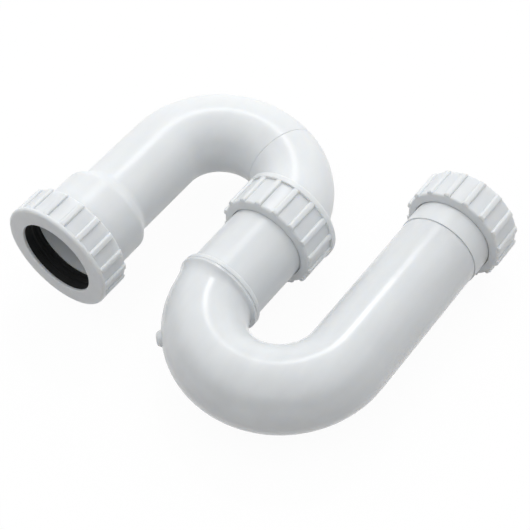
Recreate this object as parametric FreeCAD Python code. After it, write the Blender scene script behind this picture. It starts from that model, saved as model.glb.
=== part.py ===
import FreeCAD, Part
import math
import os

os.makedirs("parts", exist_ok=True)

# Swivel S trap for a 32 mm (1 1/4 inch) waste, lying on its side. Millimetres, +Z up, +Y out of the inlet.

# Trap bend: the U with the long inlet leg
TUBE_OD = 36.5
TUBE_WALL = 2.4
TRAP_RADIUS = 32.4
LEG_TOP = 68.9
COLLAR_LAP = 1.85
COLLAR_TOP = -1.1
COLLAR_LIP = 1.2
FLARE_ANGLE = 17.0
SOCKET_WALL = 1.3
SLEEVE_SPIGOT_LENGTH = 4.5
TAIL_SPIGOT_LENGTH = 9.0
LUG_ANGLE = 42.0
LUG_DIAMETER = 9.2
LUG_HEIGHT = 2.0
LUG_ROUND = 1.7

# Crown: the upper bend, welded from two mouldings at the seam
CROWN_OD = 35.6
CROWN_WALL = 2.3
CROWN_RADIUS = 32.8
CROWN_START = 42.9
SEAM_ANGLE = 71.0
SPIGOT_RISE = 4.2
SPIGOT_CHAMFER = 1.2
SWIVEL_ANGLE_AT_REST = 8.0

# Outlet socket at the end of the crown's long leg
BELL_WALL = 3.0
BELL_TOP = 2.4
BELL_SHOULDER = 4.8
BELL_BLEND = 4.0
OUTLET_PIPE_OD = 36.2
PIPE_CLEARANCE = 0.3
PIPE_STOP = -1.5
OUTLET_SPIGOT_WALL = 1.4

# Nuts
NUT_WALL = 1.6
NUT_END = 2.7
SEAT_STEP = 0.7
RIB_HEIGHT = 1.15
RIB_WIDTH = 3.0
RIB_ROUND = 0.95
RIB_INSET = 0.5
SMALL_RIB_COUNT = 16
LARGE_RIB_COUNT = 18
INLET_THREAD_LAP = 2.3
INLET_NUT_LENGTH = 16.6
INLET_NUT_DOME = 1.2
INLET_NUT_CORNER = 1.1
INLET_SEAT = 81.9
UNION_THREAD_LAP = 2.7
UNION_NUT_LENGTH = 20.0
UNION_NUT_DOME = 0.7
UNION_NUT_CORNER = 1.2
UNION_NUT_BAND = 3.3
UNION_BAND_LAP = 0.15
UNION_BAND_ROUND = 1.4
UNION_SEAT = 34.4
OUTLET_NUT_END = 1.3
OUTLET_NUT_LENGTH = 15.7
OUTLET_NUT_FACE = -31.0
OUTLET_NUT_RING = 2.1
OUTLET_NUT_CORNER = 1.3
INLET_RIB_ANGLE = 9.5
UNION_RIB_ANGLE = 7.5
OUTLET_RIB_ANGLE = 1.5

# Sleeves that carry the captive nuts
SLEEVE_LAP = 0.15
TAIL_LAP = 0.4
BEAD_LENGTH = 2.5
FLANGE_LAP = 1.2
FLANGE_THICK = 2.2

# Rubber
WASHER_THICK = 2.0
WASHER_BORE_PLAY = 0.4
WASHER_EDGE_PLAY = 1.6
SEAL_LENGTH = 8.6
SEAL_LIP_THICK = 2.4
SEAL_WALL = 2.3
SEAL_GROOVE = 0.7

# Fits and edge breaks
NUT_SLIP = 0.3
THREAD_PLAY = 0.35
THREAD_DEPTH = 1.2
SEAT_GAP = 0.05
WELD_GAP = 0.04
SEAL_PLAY = 0.3
SEAM_BREAK = 0.3
WELD_BREAK = 0.2
HOLE_BREAK = 0.15
EDGE_ROUND = 0.4
SPIGOT_ROUND = 0.6

Y = FreeCAD.Vector(0, 1, 0)
Z = FreeCAD.Vector(0, 0, 1)
ORIGIN = FreeCAD.Vector(0, 0, 0)
INLET_X = 2 * TRAP_RADIUS
OUTLET_X = -2 * CROWN_RADIUS
TUBE_R = TUBE_OD / 2
TUBE_BORE = TUBE_R - TUBE_WALL
CROWN_R = CROWN_OD / 2
CROWN_BORE = CROWN_R - CROWN_WALL
COLLAR_R = TUBE_R + COLLAR_LAP
SPIGOT_R = TUBE_R - SOCKET_WALL
SLEEVE_R = TUBE_R + SLEEVE_LAP
TAIL_R = TUBE_R + TAIL_LAP
INLET_THREAD_R = TAIL_R + INLET_THREAD_LAP
UNION_THREAD_R = SLEEVE_R + UNION_THREAD_LAP
PIPE_R = OUTLET_PIPE_OD / 2 + PIPE_CLEARANCE
POCKET_R = PIPE_R + SEAL_WALL + SEAL_PLAY
OUTLET_CORE_R = POCKET_R + OUTLET_SPIGOT_WALL
OUTLET_THREAD_R = OUTLET_CORE_R + THREAD_DEPTH + THREAD_PLAY
BELL_R = PIPE_R + BELL_WALL


# Turn an outline of (radius, height, corner round) points about an axis along Y
def lathe(points, x=0.0):
    flat = [FreeCAD.Vector(p[0], p[1], 0) for p in points]
    corners = []
    for i, here in enumerate(flat):
        size = points[i][2] if len(points[i]) > 2 else 0
        if not size:
            corners.append((here, None, here))
            continue
        back = (flat[i - 1] - here).normalize()
        ahead = (flat[(i + 1) % len(flat)] - here).normalize()
        half = back.getAngle(ahead) / 2
        reach = size / math.tan(half)
        middle = (back + ahead).normalize()
        centre = here + middle * (size / math.sin(half))
        corners.append((here + back * reach, centre - middle * size, here + ahead * reach))
    edges = []
    for i, (start, bulge, end) in enumerate(corners):
        if bulge is not None:
            edges.append(Part.Arc(start, bulge, end).toShape())
        following = corners[(i + 1) % len(corners)][0]
        if end.distanceToPoint(following) > 1e-6:
            edges.append(Part.makeLine(end, following))
    solid = Part.Face(Part.Wire(edges)).revolve(ORIGIN, Y, 360)
    solid.translate(FreeCAD.Vector(x, 0, 0))
    return solid


# Straight round bar along Y
def bar(radius, low, high, x=0.0):
    return Part.makeCylinder(radius, high - low, FreeCAD.Vector(x, low, 0), Y)


# Round bar bent about an upright axis, starting at a point on the bend's centre line
def bent_bar(radius, start, centre, degrees):
    ring = Part.Wire(Part.makeCircle(radius, start, Y))
    return Part.Face(ring).revolve(centre, Z, degrees)


# One grip rib standing on the nut wall at +X, each end either round or square
def rib(base, low, high, low_round, high_round):
    half = RIB_WIDTH / 2
    foot = base - NUT_WALL / 2
    top = base + RIB_HEIGHT
    first = low + half if low_round else low
    last = high - half if high_round else high
    a = FreeCAD.Vector(foot, first, -half)
    b = FreeCAD.Vector(foot, last, -half)
    c = FreeCAD.Vector(foot, last, half)
    d = FreeCAD.Vector(foot, first, half)
    far = Part.Arc(b, FreeCAD.Vector(foot, high, 0), c).toShape() if high_round else Part.makeLine(b, c)
    near = Part.Arc(d, FreeCAD.Vector(foot, low, 0), a).toShape() if low_round else Part.makeLine(d, a)
    outline = Part.Wire([Part.makeLine(a, b), far, Part.makeLine(c, d), near])
    solid = Part.Face(outline).extrude(FreeCAD.Vector(top - foot, 0, 0))
    rim = [e for e in solid.Edges if e.BoundBox.XMin > top - 1e-3]
    return solid.makeFillet(RIB_ROUND, rim)


# Set ribs round a nut
def ribbed(body, one, count, phase, x):
    ribs = []
    for i in range(count):
        turned = one.copy()
        turned.rotate(ORIGIN, Y, -(phase + 360.0 * i / count))
        turned.translate(FreeCAD.Vector(x, 0, 0))
        ribs.append(turned)
    return body.fuse(ribs).removeSplitter()


# Mouth of the trap bend: the last part of the bend, opening out to the collar in sections that level off
def flared_mouth():
    lip = COLLAR_TOP - COLLAR_LIP
    last = math.degrees(math.asin(-lip / TRAP_RADIUS))
    wires = []
    for share in (0.0, 0.08, 0.3, 0.55, 0.75, 0.9):
        circle = Part.makeCircle(TUBE_R + COLLAR_LAP * share ** 4, ORIGIN, Y)
        circle.rotate(ORIGIN, Z, FLARE_ANGLE * (1 - share))
        t = math.radians(FLARE_ANGLE + (last - FLARE_ANGLE) * share)
        circle.translate(FreeCAD.Vector(TRAP_RADIUS * (1 - math.cos(t)), -TRAP_RADIUS * math.sin(t), 0))
        wires.append(Part.Wire(circle))
    rim = Part.makeCircle(COLLAR_R, ORIGIN, Y)
    rim.translate(FreeCAD.Vector(0, lip, 0))
    wires.append(Part.Wire(rim))
    flare = Part.makeLoft(wires, True, False)
    ring = lathe([(0, lip), (COLLAR_R, lip), (COLLAR_R, COLLAR_TOP, WELD_BREAK), (0, COLLAR_TOP)])
    return flare.fuse(ring)


# Moulding lug: a low rounded cone on the outside of the bend
def moulding_lug(hub):
    wide = LUG_DIAMETER / 2
    top = TUBE_R + LUG_HEIGHT
    low = TUBE_R - LUG_HEIGHT
    lug = lathe([(0, low), (wide, low), (wide * 0.6, top, LUG_ROUND), (0, top)])
    lug.rotate(ORIGIN, Z, 90 + LUG_ANGLE)
    t = math.radians(LUG_ANGLE)
    lug.translate(hub - FreeCAD.Vector(math.cos(t), math.sin(t), 0) * TRAP_RADIUS)
    return lug


# Trap bend: U tube with its flared mouth, long leg, sockets for the two sleeves, and the lug
def trap_bend():
    hub = FreeCAD.Vector(TRAP_RADIUS, 0, 0)
    inlet = FreeCAD.Vector(INLET_X, 0, 0)
    leg = lathe([(0, 0), (TUBE_R, 0), (TUBE_R, LEG_TOP, WELD_BREAK), (0, LEG_TOP)], INLET_X)
    swept = bent_bar(TUBE_R, inlet, hub, FLARE_ANGLE - 180)
    body = swept.fuse([flared_mouth(), leg, moulding_lug(hub)])
    water = bent_bar(TUBE_BORE, inlet, hub, -180)
    water = water.fuse([bar(TUBE_BORE, 0, LEG_TOP + 1, INLET_X), bar(TUBE_BORE, 0, 1)])
    tail_socket = bar(SPIGOT_R + WELD_GAP, LEG_TOP - TAIL_SPIGOT_LENGTH, LEG_TOP + 1, INLET_X)
    sleeve_socket = bar(SPIGOT_R + WELD_GAP, COLLAR_TOP - SLEEVE_SPIGOT_LENGTH, COLLAR_TOP + 1)
    return body.cut(water.fuse([tail_socket, sleeve_socket])).removeSplitter()


# Flanged sleeve: spigot in its socket, tube that the nut slides on, flange that holds the nut
def flanged_sleeve(spigot_length, shoulder, radius, seat, x, bead):
    low = shoulder - spigot_length
    under = seat + SEAT_GAP
    top = under + FLANGE_THICK
    flange = radius + FLANGE_LAP
    outline = [(TUBE_BORE, low), (SPIGOT_R, low, EDGE_ROUND), (SPIGOT_R, shoulder)]
    if bead:
        crest = shoulder + BEAD_LENGTH
        bulge = 0.7 * (bead - radius)
        outline += [(bead, shoulder, WELD_BREAK), (bead, crest, bulge), (radius, crest, EDGE_ROUND)]
    else:
        outline += [(radius, shoulder, WELD_BREAK)]
    outline += [(radius, under), (flange, under), (flange, top, EDGE_ROUND), (TUBE_BORE, top)]
    return lathe(outline, x)


# Hollow nut turned about x = 0: the outside's outline up to the open end, then the plain thread wall and its seat
def nut_body(outside, hole, thread, inside, mouth, seat_depth, seat_step):
    start = inside + seat_depth
    return lathe(outside + [(thread, mouth, EDGE_ROUND), (thread, start), (thread - seat_step, start),
                            (thread - seat_step, inside), (hole, inside)])


# Captive nut at the inlet: its ribs run from end to end
def inlet_nut():
    face = INLET_SEAT - NUT_END
    mouth = face + INLET_NUT_LENGTH
    hole = TAIL_R + NUT_SLIP
    outer = INLET_THREAD_R + NUT_WALL
    stack = FLANGE_THICK + WASHER_THICK + 3 * SEAT_GAP
    outside = [(hole, face, HOLE_BREAK), (outer, face + INLET_NUT_DOME, INLET_NUT_CORNER),
               (outer, mouth, EDGE_ROUND)]
    body = nut_body(outside, hole, INLET_THREAD_R, INLET_SEAT, mouth, stack, SEAT_STEP)
    body.translate(FreeCAD.Vector(INLET_X, 0, 0))
    one = rib(outer, face + INLET_NUT_DOME, mouth - RIB_INSET / 2, False, False)
    return ribbed(body, one, SMALL_RIB_COUNT, INLET_RIB_ANGLE, INLET_X)


# Union nut: ribs run from the end wall into a raised band round the open end
def union_nut():
    face = UNION_SEAT - NUT_END
    mouth = face + UNION_NUT_LENGTH
    hole = SLEEVE_R + NUT_SLIP
    outer = UNION_THREAD_R + NUT_WALL
    band = outer + RIB_HEIGHT + UNION_BAND_LAP
    step = mouth - UNION_NUT_BAND
    outside = [(hole, face, HOLE_BREAK), (outer, face + UNION_NUT_DOME, UNION_NUT_CORNER), (outer, step),
               (band, step, EDGE_ROUND), (band, mouth, UNION_BAND_ROUND)]
    body = nut_body(outside, hole, UNION_THREAD_R, UNION_SEAT, mouth, FLANGE_THICK, SEAT_STEP)
    one = rib(outer, face + UNION_NUT_DOME, step + RIB_ROUND + EDGE_ROUND, False, False)
    return ribbed(body, one, SMALL_RIB_COUNT, UNION_RIB_ANGLE, 0)


# Compression nut at the outlet: a front ring as high as the ribs, which run back from it
def outlet_nut():
    inside = OUTLET_NUT_FACE + OUTLET_NUT_END
    mouth = OUTLET_NUT_FACE + OUTLET_NUT_LENGTH
    outer = OUTLET_THREAD_R + NUT_WALL
    ring = outer + RIB_HEIGHT
    behind = OUTLET_NUT_FACE + OUTLET_NUT_RING
    outside = [(PIPE_R, OUTLET_NUT_FACE, EDGE_ROUND), (ring, OUTLET_NUT_FACE, OUTLET_NUT_CORNER),
               (ring, behind, EDGE_ROUND), (outer, behind), (outer, mouth, EDGE_ROUND)]
    body = nut_body(outside, PIPE_R, OUTLET_THREAD_R, inside, mouth, SEAL_LIP_THICK, SEAL_PLAY)
    body.translate(FreeCAD.Vector(OUTLET_X, 0, 0))
    one = rib(outer, behind - RIB_INSET, mouth - RIB_INSET / 2, False, False)
    return ribbed(body, one, LARGE_RIB_COUNT, OUTLET_RIB_ANGLE, OUTLET_X)


# Flat rubber washer lying on a flange
def washer(thread, low, x):
    bore = TUBE_BORE + WASHER_BORE_PLAY
    outer = thread - WASHER_EDGE_PLAY
    high = low + WASHER_THICK
    return lathe([(bore, low), (outer, low, EDGE_ROUND), (outer, high, EDGE_ROUND), (bore, high)], x)


# Point on the crown's centre line
def crown_point(degrees):
    t = math.radians(degrees)
    return FreeCAD.Vector(CROWN_RADIUS * (math.cos(t) - 1), CROWN_START + CROWN_RADIUS * math.sin(t), 0)


# Bent tube of the crown between two angles
def crown_tube(radius, first, last):
    hub = FreeCAD.Vector(-CROWN_RADIUS, CROWN_START, 0)
    solid = bent_bar(radius, crown_point(0), hub, last - first)
    solid.rotate(hub, Z, first)
    return solid


# Break the outer edge of a crown tube at the weld
def broken_weld(solid, angle):
    at = crown_point(angle)
    near = [e for e in solid.Edges if e.CenterOfMass.distanceToPoint(at) < SEAM_BREAK]
    rim = [e for e in near if e.Length > 6 * CROWN_R]
    return solid.makeFillet(SEAM_BREAK, rim)


# Short moulding of the crown: spigot at the union, plain at the thread's core, and the first part of the bend
def crown_elbow():
    low = UNION_SEAT + FLANGE_THICK + WASHER_THICK + 3 * SEAT_GAP
    core = UNION_THREAD_R - THREAD_PLAY - THREAD_DEPTH
    high = CROWN_START + SPIGOT_RISE
    spigot = lathe([(0, low), (core, low, SPIGOT_ROUND), (core, high - SPIGOT_CHAMFER),
                    (CROWN_R - EDGE_ROUND, high), (0, high)])
    tube = broken_weld(crown_tube(CROWN_R, 0, SEAM_ANGLE), SEAM_ANGLE)
    water = crown_tube(CROWN_BORE, 0, SEAM_ANGLE + 2).fuse(bar(CROWN_BORE, low - 1, CROWN_START))
    return spigot.fuse(tube).cut(water).removeSplitter()


# Long moulding of the crown: the rest of the bend, the leg, and the outlet socket down to its thread's core
def outlet_leg():
    end = OUTLET_NUT_FACE + OUTLET_NUT_END + SEAL_LIP_THICK + 2 * SEAT_GAP
    start = OUTLET_NUT_FACE + OUTLET_NUT_LENGTH - SPIGOT_CHAMFER
    shoulder = BELL_TOP + BELL_SHOULDER
    leg = lathe([(0, CROWN_START), (CROWN_R, CROWN_START), (CROWN_R, shoulder, BELL_BLEND),
                 (BELL_R, BELL_TOP, BELL_BLEND), (BELL_R, start), (OUTLET_CORE_R, start - SPIGOT_CHAMFER),
                 (OUTLET_CORE_R, end, SPIGOT_ROUND), (0, end)], OUTLET_X)
    tube = broken_weld(crown_tube(CROWN_R, SEAM_ANGLE, 180), SEAM_ANGLE)
    seal = end + SEAL_LENGTH - SEAL_LIP_THICK + SEAL_PLAY
    straight = bar(CROWN_BORE, PIPE_STOP, CROWN_START, OUTLET_X)
    water = crown_tube(CROWN_BORE, SEAM_ANGLE - 2, 180).fuse(straight)
    hollow = lathe([(0, end - 1), (POCKET_R, end - 1), (POCKET_R, seal), (PIPE_R, seal), (PIPE_R, PIPE_STOP),
                    (0, PIPE_STOP)], OUTLET_X)
    return tube.fuse(leg).cut(water.fuse(hollow)).removeSplitter()


# Rubber seal: lip held by the nut, sleeve that fills the socket's mouth, three rings that grip the pipe
def outlet_seal():
    face = OUTLET_NUT_FACE + OUTLET_NUT_END + SEAT_GAP
    lip = face + SEAL_LIP_THICK
    back = face + SEAL_LENGTH
    outer = PIPE_R + SEAL_WALL
    edge = OUTLET_THREAD_R - 2 * SEAL_PLAY
    groove = PIPE_R + SEAL_GROOVE
    step = SEAL_LENGTH / 6
    rings = []
    for i in range(3):
        low = back - 2 * step * i
        rings.append((PIPE_R, low))
        rings.append((PIPE_R, low - step * 0.8))
        rings.append((groove, low - step * 1.1))
        rings.append((groove, low - step * 1.7))
    outside = [(PIPE_R, face), (edge, face, EDGE_ROUND), (edge, lip), (outer, lip), (outer, back, EDGE_ROUND)]
    return lathe(outside + rings[:-2], OUTLET_X)


union_flange_top = UNION_SEAT + SEAT_GAP + FLANGE_THICK
inlet_flange_top = INLET_SEAT + SEAT_GAP + FLANGE_THICK

trap = {
    "trap_bend": trap_bend(),
    "inlet_tailpiece": flanged_sleeve(TAIL_SPIGOT_LENGTH, LEG_TOP, TAIL_R, INLET_SEAT, INLET_X, None),
    "inlet_nut": inlet_nut(),
    "inlet_washer": washer(INLET_THREAD_R, inlet_flange_top + SEAT_GAP, INLET_X),
    "union_sleeve": flanged_sleeve(SLEEVE_SPIGOT_LENGTH, COLLAR_TOP, SLEEVE_R, UNION_SEAT, 0, COLLAR_R),
    "union_nut": union_nut(),
    "union_washer": washer(UNION_THREAD_R, union_flange_top + SEAT_GAP, 0),
}
crown = {
    "crown_elbow": crown_elbow(),
    "outlet_leg": outlet_leg(),
    "outlet_seal": outlet_seal(),
    "outlet_nut": outlet_nut(),
}
for shape in crown.values():
    shape.rotate(ORIGIN, Y, SWIVEL_ANGLE_AT_REST)

pieces = dict(trap)
pieces.update(crown)
box = FreeCAD.BoundBox()
for shape in pieces.values():
    box.add(shape.optimalBoundingBox(False, False))
shift = FreeCAD.Vector(-(box.XMin + box.XMax) / 2, -(box.YMin + box.YMax) / 2, -box.ZMin)
for name, shape in pieces.items():
    shape.translate(shift)
    shape.exportStep("parts/" + name + ".step")
    print(name, shape.ShapeType, len(shape.Solids), shape.isValid(), round(shape.Volume))
print("shift", [round(v, 3) for v in shift])
print("size", round(box.XLength, 2), round(box.YLength, 2), round(box.ZLength, 2))
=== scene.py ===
# %% [markdown]
# # A swivel S trap for a basin waste
# The object is a white plastic drain trap: a U bend that holds the water seal, an upper bend (the crown)
# that swivels on a union nut, a captive nut for the basin waste and a compression nut for the waste pipe.
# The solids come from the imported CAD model. This lesson dresses them: screw threads as real helices, moulded
# plastic and rubber as procedural materials, and a plain studio that repeats the light of the photograph.

# %% Load the solids as a fixed frame
import math
import bpy
from mathutils import Matrix, Vector


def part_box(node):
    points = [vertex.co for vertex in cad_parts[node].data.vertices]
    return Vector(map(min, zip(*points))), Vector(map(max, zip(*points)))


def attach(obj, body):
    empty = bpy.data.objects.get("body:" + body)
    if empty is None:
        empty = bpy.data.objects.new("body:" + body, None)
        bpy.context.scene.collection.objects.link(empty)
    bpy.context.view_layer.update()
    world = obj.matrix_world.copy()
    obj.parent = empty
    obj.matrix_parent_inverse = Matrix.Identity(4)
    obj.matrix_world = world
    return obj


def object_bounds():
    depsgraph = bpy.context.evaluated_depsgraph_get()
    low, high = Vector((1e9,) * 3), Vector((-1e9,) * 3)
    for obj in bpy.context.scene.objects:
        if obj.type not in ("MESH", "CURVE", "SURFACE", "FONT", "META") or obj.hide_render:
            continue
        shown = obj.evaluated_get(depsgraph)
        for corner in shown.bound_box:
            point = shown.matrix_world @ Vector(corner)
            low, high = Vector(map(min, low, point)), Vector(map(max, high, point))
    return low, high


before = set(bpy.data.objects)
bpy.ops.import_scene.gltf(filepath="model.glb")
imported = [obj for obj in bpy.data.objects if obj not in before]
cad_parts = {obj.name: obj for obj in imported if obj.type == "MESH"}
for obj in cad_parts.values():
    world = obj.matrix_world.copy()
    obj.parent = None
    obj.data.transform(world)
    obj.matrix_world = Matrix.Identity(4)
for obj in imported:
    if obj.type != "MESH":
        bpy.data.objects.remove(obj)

cad_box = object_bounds()
print("nodes", sorted(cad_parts))
print("CAD box", [[round(v, 4) for v in corner] for corner in cad_box])

# %% [markdown]
# ## Camera
# The photograph looks down on the trap from about 50 degrees, with a moderate telephoto view. The camera was
# matched to the outlines of the tubes and nuts, so its place is written as an aim point, two angles, a roll
# and a distance. A camera's own axes are right, up and back, so a matrix built from those three needs no
# guessing.

# %% Camera from the aim point and angles
AIM = Vector((0.00169, 0.01138, 0.02400))
AZIMUTH, ELEVATION, ROLL = (math.radians(v) for v in (41.0, 50.6, -5.75))
SIDE_STEP, RISE, DISTANCE = -0.00149, -0.01107, 0.6051
LENS, SENSOR = 94.15, 36
NEAREST_SEEN = 0.01

flat = math.cos(ELEVATION)
back = Vector((math.sin(AZIMUTH) * flat, -math.cos(AZIMUTH) * flat, math.sin(ELEVATION)))
level = Vector((math.cos(AZIMUTH), math.sin(AZIMUTH), 0))
upright = back.cross(level)
right = level * math.cos(ROLL) + upright * math.sin(ROLL)
up = upright * math.cos(ROLL) - level * math.sin(ROLL)
eye = AIM + right * SIDE_STEP + up * RISE + back * DISTANCE

camera = bpy.data.objects.new("camera", bpy.data.cameras.new("camera"))
bpy.context.scene.collection.objects.link(camera)
camera.data.sensor_width = SENSOR
camera.data.lens = LENS
camera.data.clip_start = NEAREST_SEEN
camera.matrix_world = Matrix((right, up, back)).transposed().to_4x4()
camera.location = eye
bpy.context.scene.camera = camera
print("camera at", [round(v, 3) for v in eye])

# %% [markdown]
# ## Two helpers for materials
# Colours are read as the hex values that a colour picker shows, so one function turns them into the linear
# values that shaders use. A second one adds a node, sets its options and links or fills its sockets, which
# keeps every material below readable as a list.

# %% Colour and node helpers
def linear(code):
    parts = [int(code[i:i + 2], 16) / 255 for i in (1, 3, 5)]
    return tuple(c / 12.92 if c <= 0.04045 else ((c + 0.055) / 1.055) ** 2.4 for c in parts) + (1.0,)


def add_node(tree, kind, sockets=None, **options):
    made = tree.nodes.new(kind)
    for name, value in options.items():
        setattr(made, name, value)
    for name, value in (sockets or {}).items():
        if isinstance(value, bpy.types.NodeSocket):
            tree.links.new(value, made.inputs[name])
        else:
            made.inputs[name].default_value = value
    return made


MM = 0.001
WHITE = linear("#FFFFFF")
print("white reads as", [round(v, 3) for v in WHITE])

# %% [markdown]
# ## Moulded polypropylene
# The tubes are white polypropylene, injection moulded against a polished steel core and cavity. That gives
# the eye a cool white with a soft gloss: a narrow bright line along each tube, slightly wavy where the wall
# shrank, and a faint cloudiness where the melt flowed. Polypropylene lets light into its wall, so all of its
# colour comes from subsurface scattering, and the glow is how deep the light goes, which softens the shading
# at edges and ribs. The waviness is a bump of about 9 mm, the clouds are about 25 mm across, the flow streaks
# 6 mm, and the fine skin is drawn at 0.5 mm, coarser than the real one, because finer would not be seen.

# %% Polypropylene of the tubes and nuts
CLOUD, STREAK, SWELL, SKIN = 25 * MM, 6 * MM, 9 * MM, 0.5 * MM
STREAK_STRETCH = (1.0, 0.12, 1.0)
SWELL_SHARE, SWELL_DEPTH, SKIN_DEPTH = 0.45, 0.25 * MM, 0.02 * MM
GLOSS_SPREAD = 0.08
GLOW_TINT = (1.0, 0.92, 0.82)
POLYPROPYLENE_IOR = 1.49


def polypropylene(name, pale, dull, roughness, skin, glow):
    material = bpy.data.materials.new(name)
    material.use_nodes = True
    tree = material.node_tree
    tree.nodes.clear()
    place = add_node(tree, "ShaderNodeTexCoord").outputs["Object"]
    clouds = add_node(tree, "ShaderNodeTexNoise", {"Vector": place, "Scale": 1 / CLOUD, "Detail": 3.0})
    streaks = add_node(tree, "ShaderNodeMapping", {"Vector": place, "Scale": STREAK_STRETCH})
    flow = add_node(tree, "ShaderNodeTexNoise", {
        "Vector": streaks.outputs["Vector"], "Scale": 1 / STREAK, "Detail": 2.0})
    both = add_node(tree, "ShaderNodeMath", {0: clouds.outputs["Fac"], 1: flow.outputs["Fac"]},
                    operation="ADD")
    share = add_node(tree, "ShaderNodeMapRange", {
        "Value": both.outputs["Value"], "From Min": 0.7, "From Max": 1.3})
    tint = add_node(tree, "ShaderNodeMix", {
        0: share.outputs["Result"], 6: linear(dull), 7: linear(pale)}, data_type="RGBA")
    gloss = add_node(tree, "ShaderNodeMapRange", {
        "Value": clouds.outputs["Fac"], "From Min": 0.3, "From Max": 0.7,
        "To Min": roughness * (1 - GLOSS_SPREAD), "To Max": roughness * (1 + GLOSS_SPREAD)})
    wave = add_node(tree, "ShaderNodeTexNoise", {"Vector": place, "Scale": 1 / SWELL, "Detail": 1.0})
    fine = add_node(tree, "ShaderNodeTexNoise", {"Vector": place, "Scale": 1 / SKIN, "Detail": 2.0})
    swell = add_node(tree, "ShaderNodeBump", {
        "Height": wave.outputs["Fac"], "Strength": SWELL_SHARE, "Distance": SWELL_DEPTH})
    grain = add_node(tree, "ShaderNodeBump", {
        "Height": fine.outputs["Fac"], "Strength": skin, "Distance": SKIN_DEPTH,
        "Normal": swell.outputs["Normal"]})
    wall = add_node(tree, "ShaderNodeBsdfPrincipled", {
        "Base Color": tint.outputs[2], "Roughness": gloss.outputs["Result"], "IOR": POLYPROPYLENE_IOR,
        "Subsurface Weight": 1.0, "Subsurface Radius": GLOW_TINT, "Subsurface Scale": glow,
        "Normal": grain.outputs["Normal"]})
    add_node(tree, "ShaderNodeOutputMaterial", {"Surface": wall.outputs["BSDF"]})
    return material


# %% [markdown]
# ## Four finishes of one plastic
# The mould decides the gloss. The trap bend has the most polished one and shows the sharpest line. The crown
# is a little softer, the sleeves are satin, and the nuts have the eggshell skin that their ribbed moulds
# leave. The colours differ by a few steps, as mouldings from different batches do.

# %% Finishes from polished to eggshell
trap_plastic = polypropylene("moulded polypropylene, polished", "#E5E8EA", "#DFE2E4", 0.23, 0.25, 2 * MM)
crown_plastic = polypropylene("moulded polypropylene, soft gloss", "#ECEFF1", "#E8EBED", 0.305, 0.3, 1 * MM)
sleeve_plastic = polypropylene("moulded polypropylene, satin", "#E6E9EB", "#E1E4E6", 0.33, 0.9, 1 * MM)
nut_plastic = polypropylene("moulded polypropylene, eggshell", "#E8EBED", "#E2E5E7", 0.31, 0.5, 2 * MM)
print("plastics", [m.name for m in (trap_plastic, crown_plastic, sleeve_plastic, nut_plastic)])

# %% [markdown]
# ## Moulded EPDM rubber
# The washers and the outlet seal are black EPDM, pressed and cured in a steel mould. It looks matt and almost
# black, with a dusty bloom that catches the light on its ridges. A noise of 4 mm gives the bloom and one of
# 0.4 mm the moulded skin.

# %% Rubber of the seals
BLOOM, RUBBER_SKIN, RUBBER_SKIN_DEPTH = 4 * MM, 0.4 * MM, 0.03 * MM
EPDM_IOR = 1.52


def epdm(name, black, bloom):
    material = bpy.data.materials.new(name)
    material.use_nodes = True
    tree = material.node_tree
    tree.nodes.clear()
    place = add_node(tree, "ShaderNodeTexCoord").outputs["Object"]
    dust = add_node(tree, "ShaderNodeTexNoise", {"Vector": place, "Scale": 1 / BLOOM, "Detail": 4.0})
    share = add_node(tree, "ShaderNodeMapRange", {
        "Value": dust.outputs["Fac"], "From Min": 0.4, "From Max": 0.75})
    tint = add_node(tree, "ShaderNodeMix", {
        0: share.outputs["Result"], 6: linear(black), 7: linear(bloom)}, data_type="RGBA")
    gloss = add_node(tree, "ShaderNodeMapRange", {
        "Value": dust.outputs["Fac"], "To Min": 0.48, "To Max": 0.72})
    fine = add_node(tree, "ShaderNodeTexNoise", {"Vector": place, "Scale": 1 / RUBBER_SKIN, "Detail": 2.0})
    grain = add_node(tree, "ShaderNodeBump", {
        "Height": fine.outputs["Fac"], "Strength": 0.5, "Distance": RUBBER_SKIN_DEPTH})
    cured = add_node(tree, "ShaderNodeBsdfPrincipled", {
        "Base Color": tint.outputs[2], "Roughness": gloss.outputs["Result"], "IOR": EPDM_IOR,
        "Normal": grain.outputs["Normal"]})
    add_node(tree, "ShaderNodeOutputMaterial", {"Surface": cured.outputs["BSDF"]})
    return material


rubber = epdm("EPDM rubber, moulded", "#060708", "#0E0F11")
print("rubber", rubber.name)

# %% [markdown]
# ## Dress the solids
# The CAD shapes are right, so they stay and only get these finishes in their own material slots: one finish
# for the trap bend, one for the two mouldings of the crown, one for the sleeves, one for the nuts, and rubber
# for the rest.

# %% Finish of each node
FINISHES = (
    (trap_plastic, ("trap_bend",)),
    (crown_plastic, ("crown_elbow", "outlet_leg")),
    (sleeve_plastic, ("inlet_tailpiece", "union_sleeve")),
    (nut_plastic, ("inlet_nut", "union_nut", "outlet_nut")),
    (rubber, ("inlet_washer", "union_washer", "outlet_seal")))
for finish, names in FINISHES:
    for name in names:
        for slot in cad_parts[name].material_slots:
            slot.material = finish
print("dressed", sum(len(names) for finish, names in FINISHES), "nodes")

# %% [markdown]
# ## Screw threads
# Each nut has a right-hand thread inside, and the two spigots have the matching one outside. The solids stop
# at the root of each nut's thread and at the core of each spigot's, so the ridges are added here. A thread
# could be cut with a screw modifier, but a ridge swept by code ends in a neat run-out and keeps its pitch
# exactly, which matters because nut and spigot stay in mesh as the joint turns. A ridge has a blunt top and
# sloping flanks, so its section is four points, and its height rises and falls over the run-out.

# %% One helical ridge
STEPS_A_TURN = 96
FOOT_SHARE, TOP_SHARE = 0.30, 0.13
RUN_OUT_TURNS, FIRST_RISE = 0.22, 0.02
SHARP_EDGE = math.radians(35)


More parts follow.
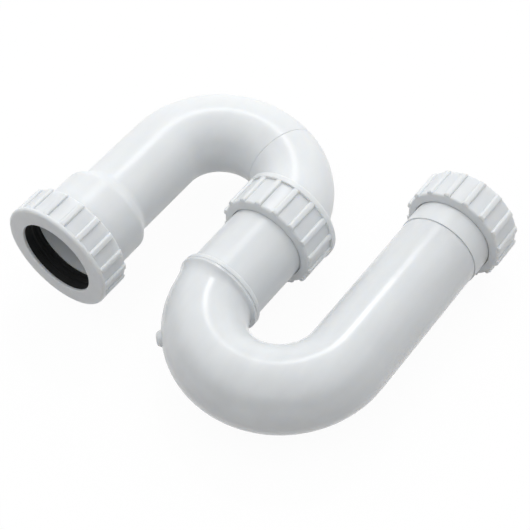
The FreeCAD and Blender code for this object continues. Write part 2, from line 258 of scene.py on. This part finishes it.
def ridge_mesh(name, centre, root, crest, span, pitch, shift):
    foot, top = FOOT_SHARE * pitch, TOP_SHARE * pitch
    start, end = (span[0] + foot - shift) / pitch, (span[1] - foot - shift) / pitch
    count = int((end - start) * STEPS_A_TURN)
    run_out_steps = STEPS_A_TURN * RUN_OUT_TURNS
    points, faces = [], []
    for i in range(count + 1):
        turn = start + i / STEPS_A_TURN
        angle = 2 * math.pi * turn
        along = shift + pitch * turn
        run_out = min(1.0, i / run_out_steps, (count - i) / run_out_steps)
        rise = FIRST_RISE + (1 - FIRST_RISE) * math.sin(run_out * math.pi / 2)
        peak = root + (crest - root) * rise
        for radius, offset in ((root, -foot), (peak, -top), (peak, top), (root, foot)):
            across = centre[0] + radius * math.sin(angle)
            high = centre[1] + radius * math.cos(angle)
            points.append((across, along + offset, high))
        if i:
            a, b = 4 * (i - 1), 4 * i
            faces += [(a + k, b + k, b + k + 1, a + k + 1) for k in range(3)]
    faces += [(3, 2, 1, 0), (4 * count, 4 * count + 1, 4 * count + 2, 4 * count + 3)]
    faces += [(4 * i, 4 * i + 3, 4 * i + 7, 4 * i + 4) for i in range(count)]
    mesh = bpy.data.meshes.new(name)
    mesh.from_pydata(points, [], faces)
    mesh.validate()
    print(name, len(mesh.polygons), "faces", round(end - start, 1), "turns")
    return mesh


# %% [markdown]
# ## From ridge to piece
# A closed mesh needs all its faces to look outwards, which the edit mode's own tool settles for inside and
# outside threads alike. The flanks are shaded smooth and the edges of the blunt top are kept sharp. Then the
# piece rides on the body that carries it and takes the slot of the plastic it is part of.

# %% A thread that rides on its body
def thread_ridge(name, centre, root, crest, span, pitch, shift, body, finish):
    mesh = ridge_mesh(name, centre, root, crest, span, pitch, shift)
    mesh.materials.append(finish)
    piece = bpy.data.objects.new(name, mesh)
    bpy.context.scene.collection.objects.link(piece)
    bpy.context.view_layer.objects.active = piece
    piece.select_set(True)
    bpy.ops.object.mode_set(mode="EDIT")
    bpy.ops.mesh.select_all(action="SELECT")
    bpy.ops.mesh.normals_make_consistent(inside=False)
    bpy.ops.object.mode_set(mode="OBJECT")
    piece.select_set(False)
    mesh.shade_smooth()
    mesh.set_sharp_from_angle(angle=SHARP_EDGE)
    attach(piece, body)
    return piece


# %% [markdown]
# ## Thread of the inlet nut
# The inlet nut has the usual pipe thread for a basin waste, 11 threads to the inch. Each ridge sinks a
# little into its wall, so that no gap shows at its foot.

# %% Pipe thread in the inlet nut
def axis_of(node):
    low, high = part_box(node)
    return ((low[0] + high[0]) / 2, (low[2] + high[2]) / 2)


INCH = 25.4 * MM
PIPE_PITCH = INCH / 11
DEEP = 1.15 * MM
SINK = 0.05 * MM

inlet_root = 20.95 * MM
inlet_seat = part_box("inlet_washer")[1][1]
inlet_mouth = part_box("inlet_nut")[1][1]
inlet_span = (inlet_seat + 0.6 * MM, inlet_mouth - 0.8 * MM)
thread_ridge("inlet_nut_thread", axis_of("inlet_washer"), inlet_root + SINK, inlet_root - DEEP, inlet_span,
             PIPE_PITCH, inlet_seat, "inlet_nut", nut_plastic)

# %% [markdown]
# ## Threads of the union and the outlet
# These two have a coarser thread of 3 mm, so that few turns are needed by hand. Nut and spigot have a ridge
# each, and the nut's lies half a pitch away from the spigot's, in its groove.

# %% Hand threads of the union
HAND_PITCH = 3.0 * MM
HALF_PITCH = HAND_PITCH / 2

union_root, union_core = 21.1 * MM, 19.55 * MM
union_axis = axis_of("union_washer")
union_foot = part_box("union_washer")[1][1]
union_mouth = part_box("union_nut")[1][1]
union_spigot_span = (union_foot + 0.4 * MM, union_foot + 7.2 * MM)
union_nut_span = (union_foot + 0.2 * MM, union_mouth - 0.9 * MM)
thread_ridge("union_spigot_thread", union_axis, union_core - SINK, union_core + DEEP, union_spigot_span,
             HAND_PITCH, union_foot, "crown", crown_plastic)
thread_ridge("union_nut_thread", union_axis, union_root + SINK, union_root - DEEP, union_nut_span,
             HAND_PITCH, union_foot + HALF_PITCH, "union_nut", nut_plastic)

# %% Hand threads of the outlet
outlet_root, outlet_core = 23.95 * MM, 22.4 * MM
outlet_axis = axis_of("outlet_seal")
outlet_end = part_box("outlet_leg")[0][1]
outlet_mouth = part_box("outlet_nut")[1][1]
outlet_spigot_span = (outlet_end + 0.5 * MM, outlet_mouth - 1.6 * MM)
outlet_nut_span = (outlet_end + 0.3 * MM, outlet_mouth - 0.7 * MM)
thread_ridge("outlet_spigot_thread", outlet_axis, outlet_core - SINK, outlet_core + DEEP, outlet_spigot_span,
             HAND_PITCH, outlet_end, "crown", crown_plastic)
thread_ridge("outlet_nut_thread", outlet_axis, outlet_root + SINK, outlet_root - DEEP, outlet_nut_span,
             HAND_PITCH, outlet_end + HALF_PITCH, "outlet_nut", nut_plastic)

# %% [markdown]
# ## Floor
# The photograph is a cut-out on plain white, so nothing of its ground is seen. Here the trap lies on a white
# paper sheet. For the light that it throws back under the tubes the paper is a pale grey, which leaves their
# undersides as dark as the photograph shows them. For rays that come from the camera, or by way of a
# reflection, the paper is white and most of it glows at strength 1, while the rest still takes the light, so
# a soft trace of the shadow is kept.

# %% Paper sheet
PAPER_GLOW = 0.95
PAPER_BOUNCE = linear("#C6C5C5")
PAPER_HALF, PAPER_GAP = 3.0, 0.2 * MM


def white_paper():
    material = bpy.data.materials.new("white paper sweep")
    material.use_nodes = True
    tree = material.node_tree
    tree.nodes.clear()
    path = add_node(tree, "ShaderNodeLightPath")
    mirrored = add_node(tree, "ShaderNodeMath", {
        0: path.outputs["Is Glossy Ray"], 1: path.outputs["Is Transmission Ray"]}, operation="MAXIMUM")
    seen = add_node(tree, "ShaderNodeMath", {
        0: path.outputs["Is Camera Ray"], 1: mirrored.outputs["Value"]}, operation="MAXIMUM")
    share = add_node(tree, "ShaderNodeMath", {0: seen.outputs["Value"], 1: PAPER_GLOW},
                     operation="MULTIPLY")
    tone = add_node(tree, "ShaderNodeMix", {0: seen.outputs["Value"], 6: PAPER_BOUNCE, 7: WHITE},
                    data_type="RGBA")
    paper = add_node(tree, "ShaderNodeBsdfDiffuse", {"Color": tone.outputs[2]})
    glow = add_node(tree, "ShaderNodeEmission", {"Color": WHITE, "Strength": 1.0})
    mixed = add_node(tree, "ShaderNodeMixShader", {
        0: share.outputs["Value"], 1: paper.outputs["BSDF"], 2: glow.outputs["Emission"]})
    add_node(tree, "ShaderNodeOutputMaterial", {"Surface": mixed.outputs["Shader"]})
    return material


def studio_floor():
    mesh = bpy.data.meshes.new("studio_floor")
    corners = [(x * PAPER_HALF, y * PAPER_HALF, 0) for x, y in ((-1, -1), (1, -1), (1, 1), (-1, 1))]
    mesh.from_pydata(corners, [], [(0, 1, 2, 3)])
    mesh.materials.append(white_paper())
    floor = bpy.data.objects.new("studio_floor", mesh)
    floor.location.z = cad_box[0][2] - PAPER_GAP
    bpy.context.scene.collection.objects.link(floor)
    return floor


print("floor at", round(studio_floor().location.z / MM, 2), "mm")

# %% [markdown]
# ## Light
# The shading in the photograph tells where its light came from: tops are bright, the flanks away from the
# viewer stay bright far down, and the flanks that face the viewer fall off to a mid grey. That is a wide soft
# roof with a white wall behind and to the left, and nothing low in front. Several area lamps could do it, but
# a world whose strength depends on direction gives the same soft wrap without lamp edges in the gloss.

# %% World that is bright above and behind
ROOF, WALL = 1.12, 1.08
ROOF_FROM, ROOF_FULL = 0.375, 0.665
WALL_WAY = (-0.358, 0.934, 0.0)
WALL_FROM, WALL_FULL = -0.13, 0.77


def studio_world():
    world = bpy.data.worlds.new("studio")
    bpy.context.scene.world = world
    world.use_nodes = True
    tree = world.node_tree
    tree.nodes.clear()
    way = add_node(tree, "ShaderNodeTexCoord").outputs["Generated"]
    height = add_node(tree, "ShaderNodeSeparateXYZ", {"Vector": way}).outputs["Z"]
    above = add_node(tree, "ShaderNodeMapRange", {
        "Value": height, "From Min": ROOF_FROM, "From Max": ROOF_FULL}, interpolation_type="SMOOTHSTEP")
    behind = add_node(tree, "ShaderNodeVectorMath", {0: way, 1: WALL_WAY}, operation="DOT_PRODUCT")
    wall = add_node(tree, "ShaderNodeMapRange", {
        "Value": behind.outputs["Value"], "From Min": WALL_FROM, "From Max": WALL_FULL, "To Max": WALL},
        interpolation_type="SMOOTHSTEP")
    strength = add_node(tree, "ShaderNodeMix", {
        0: above.outputs["Result"], 2: wall.outputs["Result"], 3: ROOF})
    path = add_node(tree, "ShaderNodeLightPath")
    seen = add_node(tree, "ShaderNodeMath", {
        0: path.outputs["Is Camera Ray"], 1: path.outputs["Is Transmission Ray"]}, operation="MAXIMUM")
    lit = add_node(tree, "ShaderNodeBackground", {"Color": WHITE, "Strength": strength.outputs[0]})
    plain = add_node(tree, "ShaderNodeBackground", {"Color": WHITE, "Strength": 1.0})
    mixed = add_node(tree, "ShaderNodeMixShader", {
        0: seen.outputs["Value"], 1: lit.outputs["Background"], 2: plain.outputs["Background"]})
    add_node(tree, "ShaderNodeOutputWorld", {"Surface": mixed.outputs["Shader"]})


studio_world()
print("roof", ROOF, "wall", WALL)

# %% [markdown]
# ## The bright line
# A narrow bright line runs along each tube in the photograph. A short strip lamp, high at the back, draws it.
# Its place was worked out from the lines themselves: where one lies, the tube faces halfway between the lamp
# and the camera. The lamp lies across the straight tubes, so the line also reaches into the bends.

# %% The strip lamp that draws the bright line
KEY_WAY, KEY_ALONG = Vector((-0.255, 0.47, 0.83)), Vector((1, 0, 0))
KEY_DISTANCE, KEY_LENGTH, KEY_WIDTH = 1.6, 0.32, 0.10
KEY_WATTS = 2.8


def strip_lamp(name):
    data = bpy.data.lights.new(name, "AREA")
    data.shape = "RECTANGLE"
    data.size, data.size_y = KEY_LENGTH, KEY_WIDTH
    data.energy = KEY_WATTS
    facing = KEY_WAY.normalized()
    side = (KEY_ALONG - facing * facing.dot(KEY_ALONG)).normalized()
    made = bpy.data.objects.new(name, data)
    made.location = AIM + facing * KEY_DISTANCE
    made.rotation_euler = Matrix((side, facing.cross(side), facing)).transposed().to_euler()
    bpy.context.scene.collection.objects.link(made)
    return made


key = strip_lamp("key lamp")
bpy.context.scene.view_settings.view_transform = "Standard"
print("key lamp at", [round(v, 2) for v in key.location])
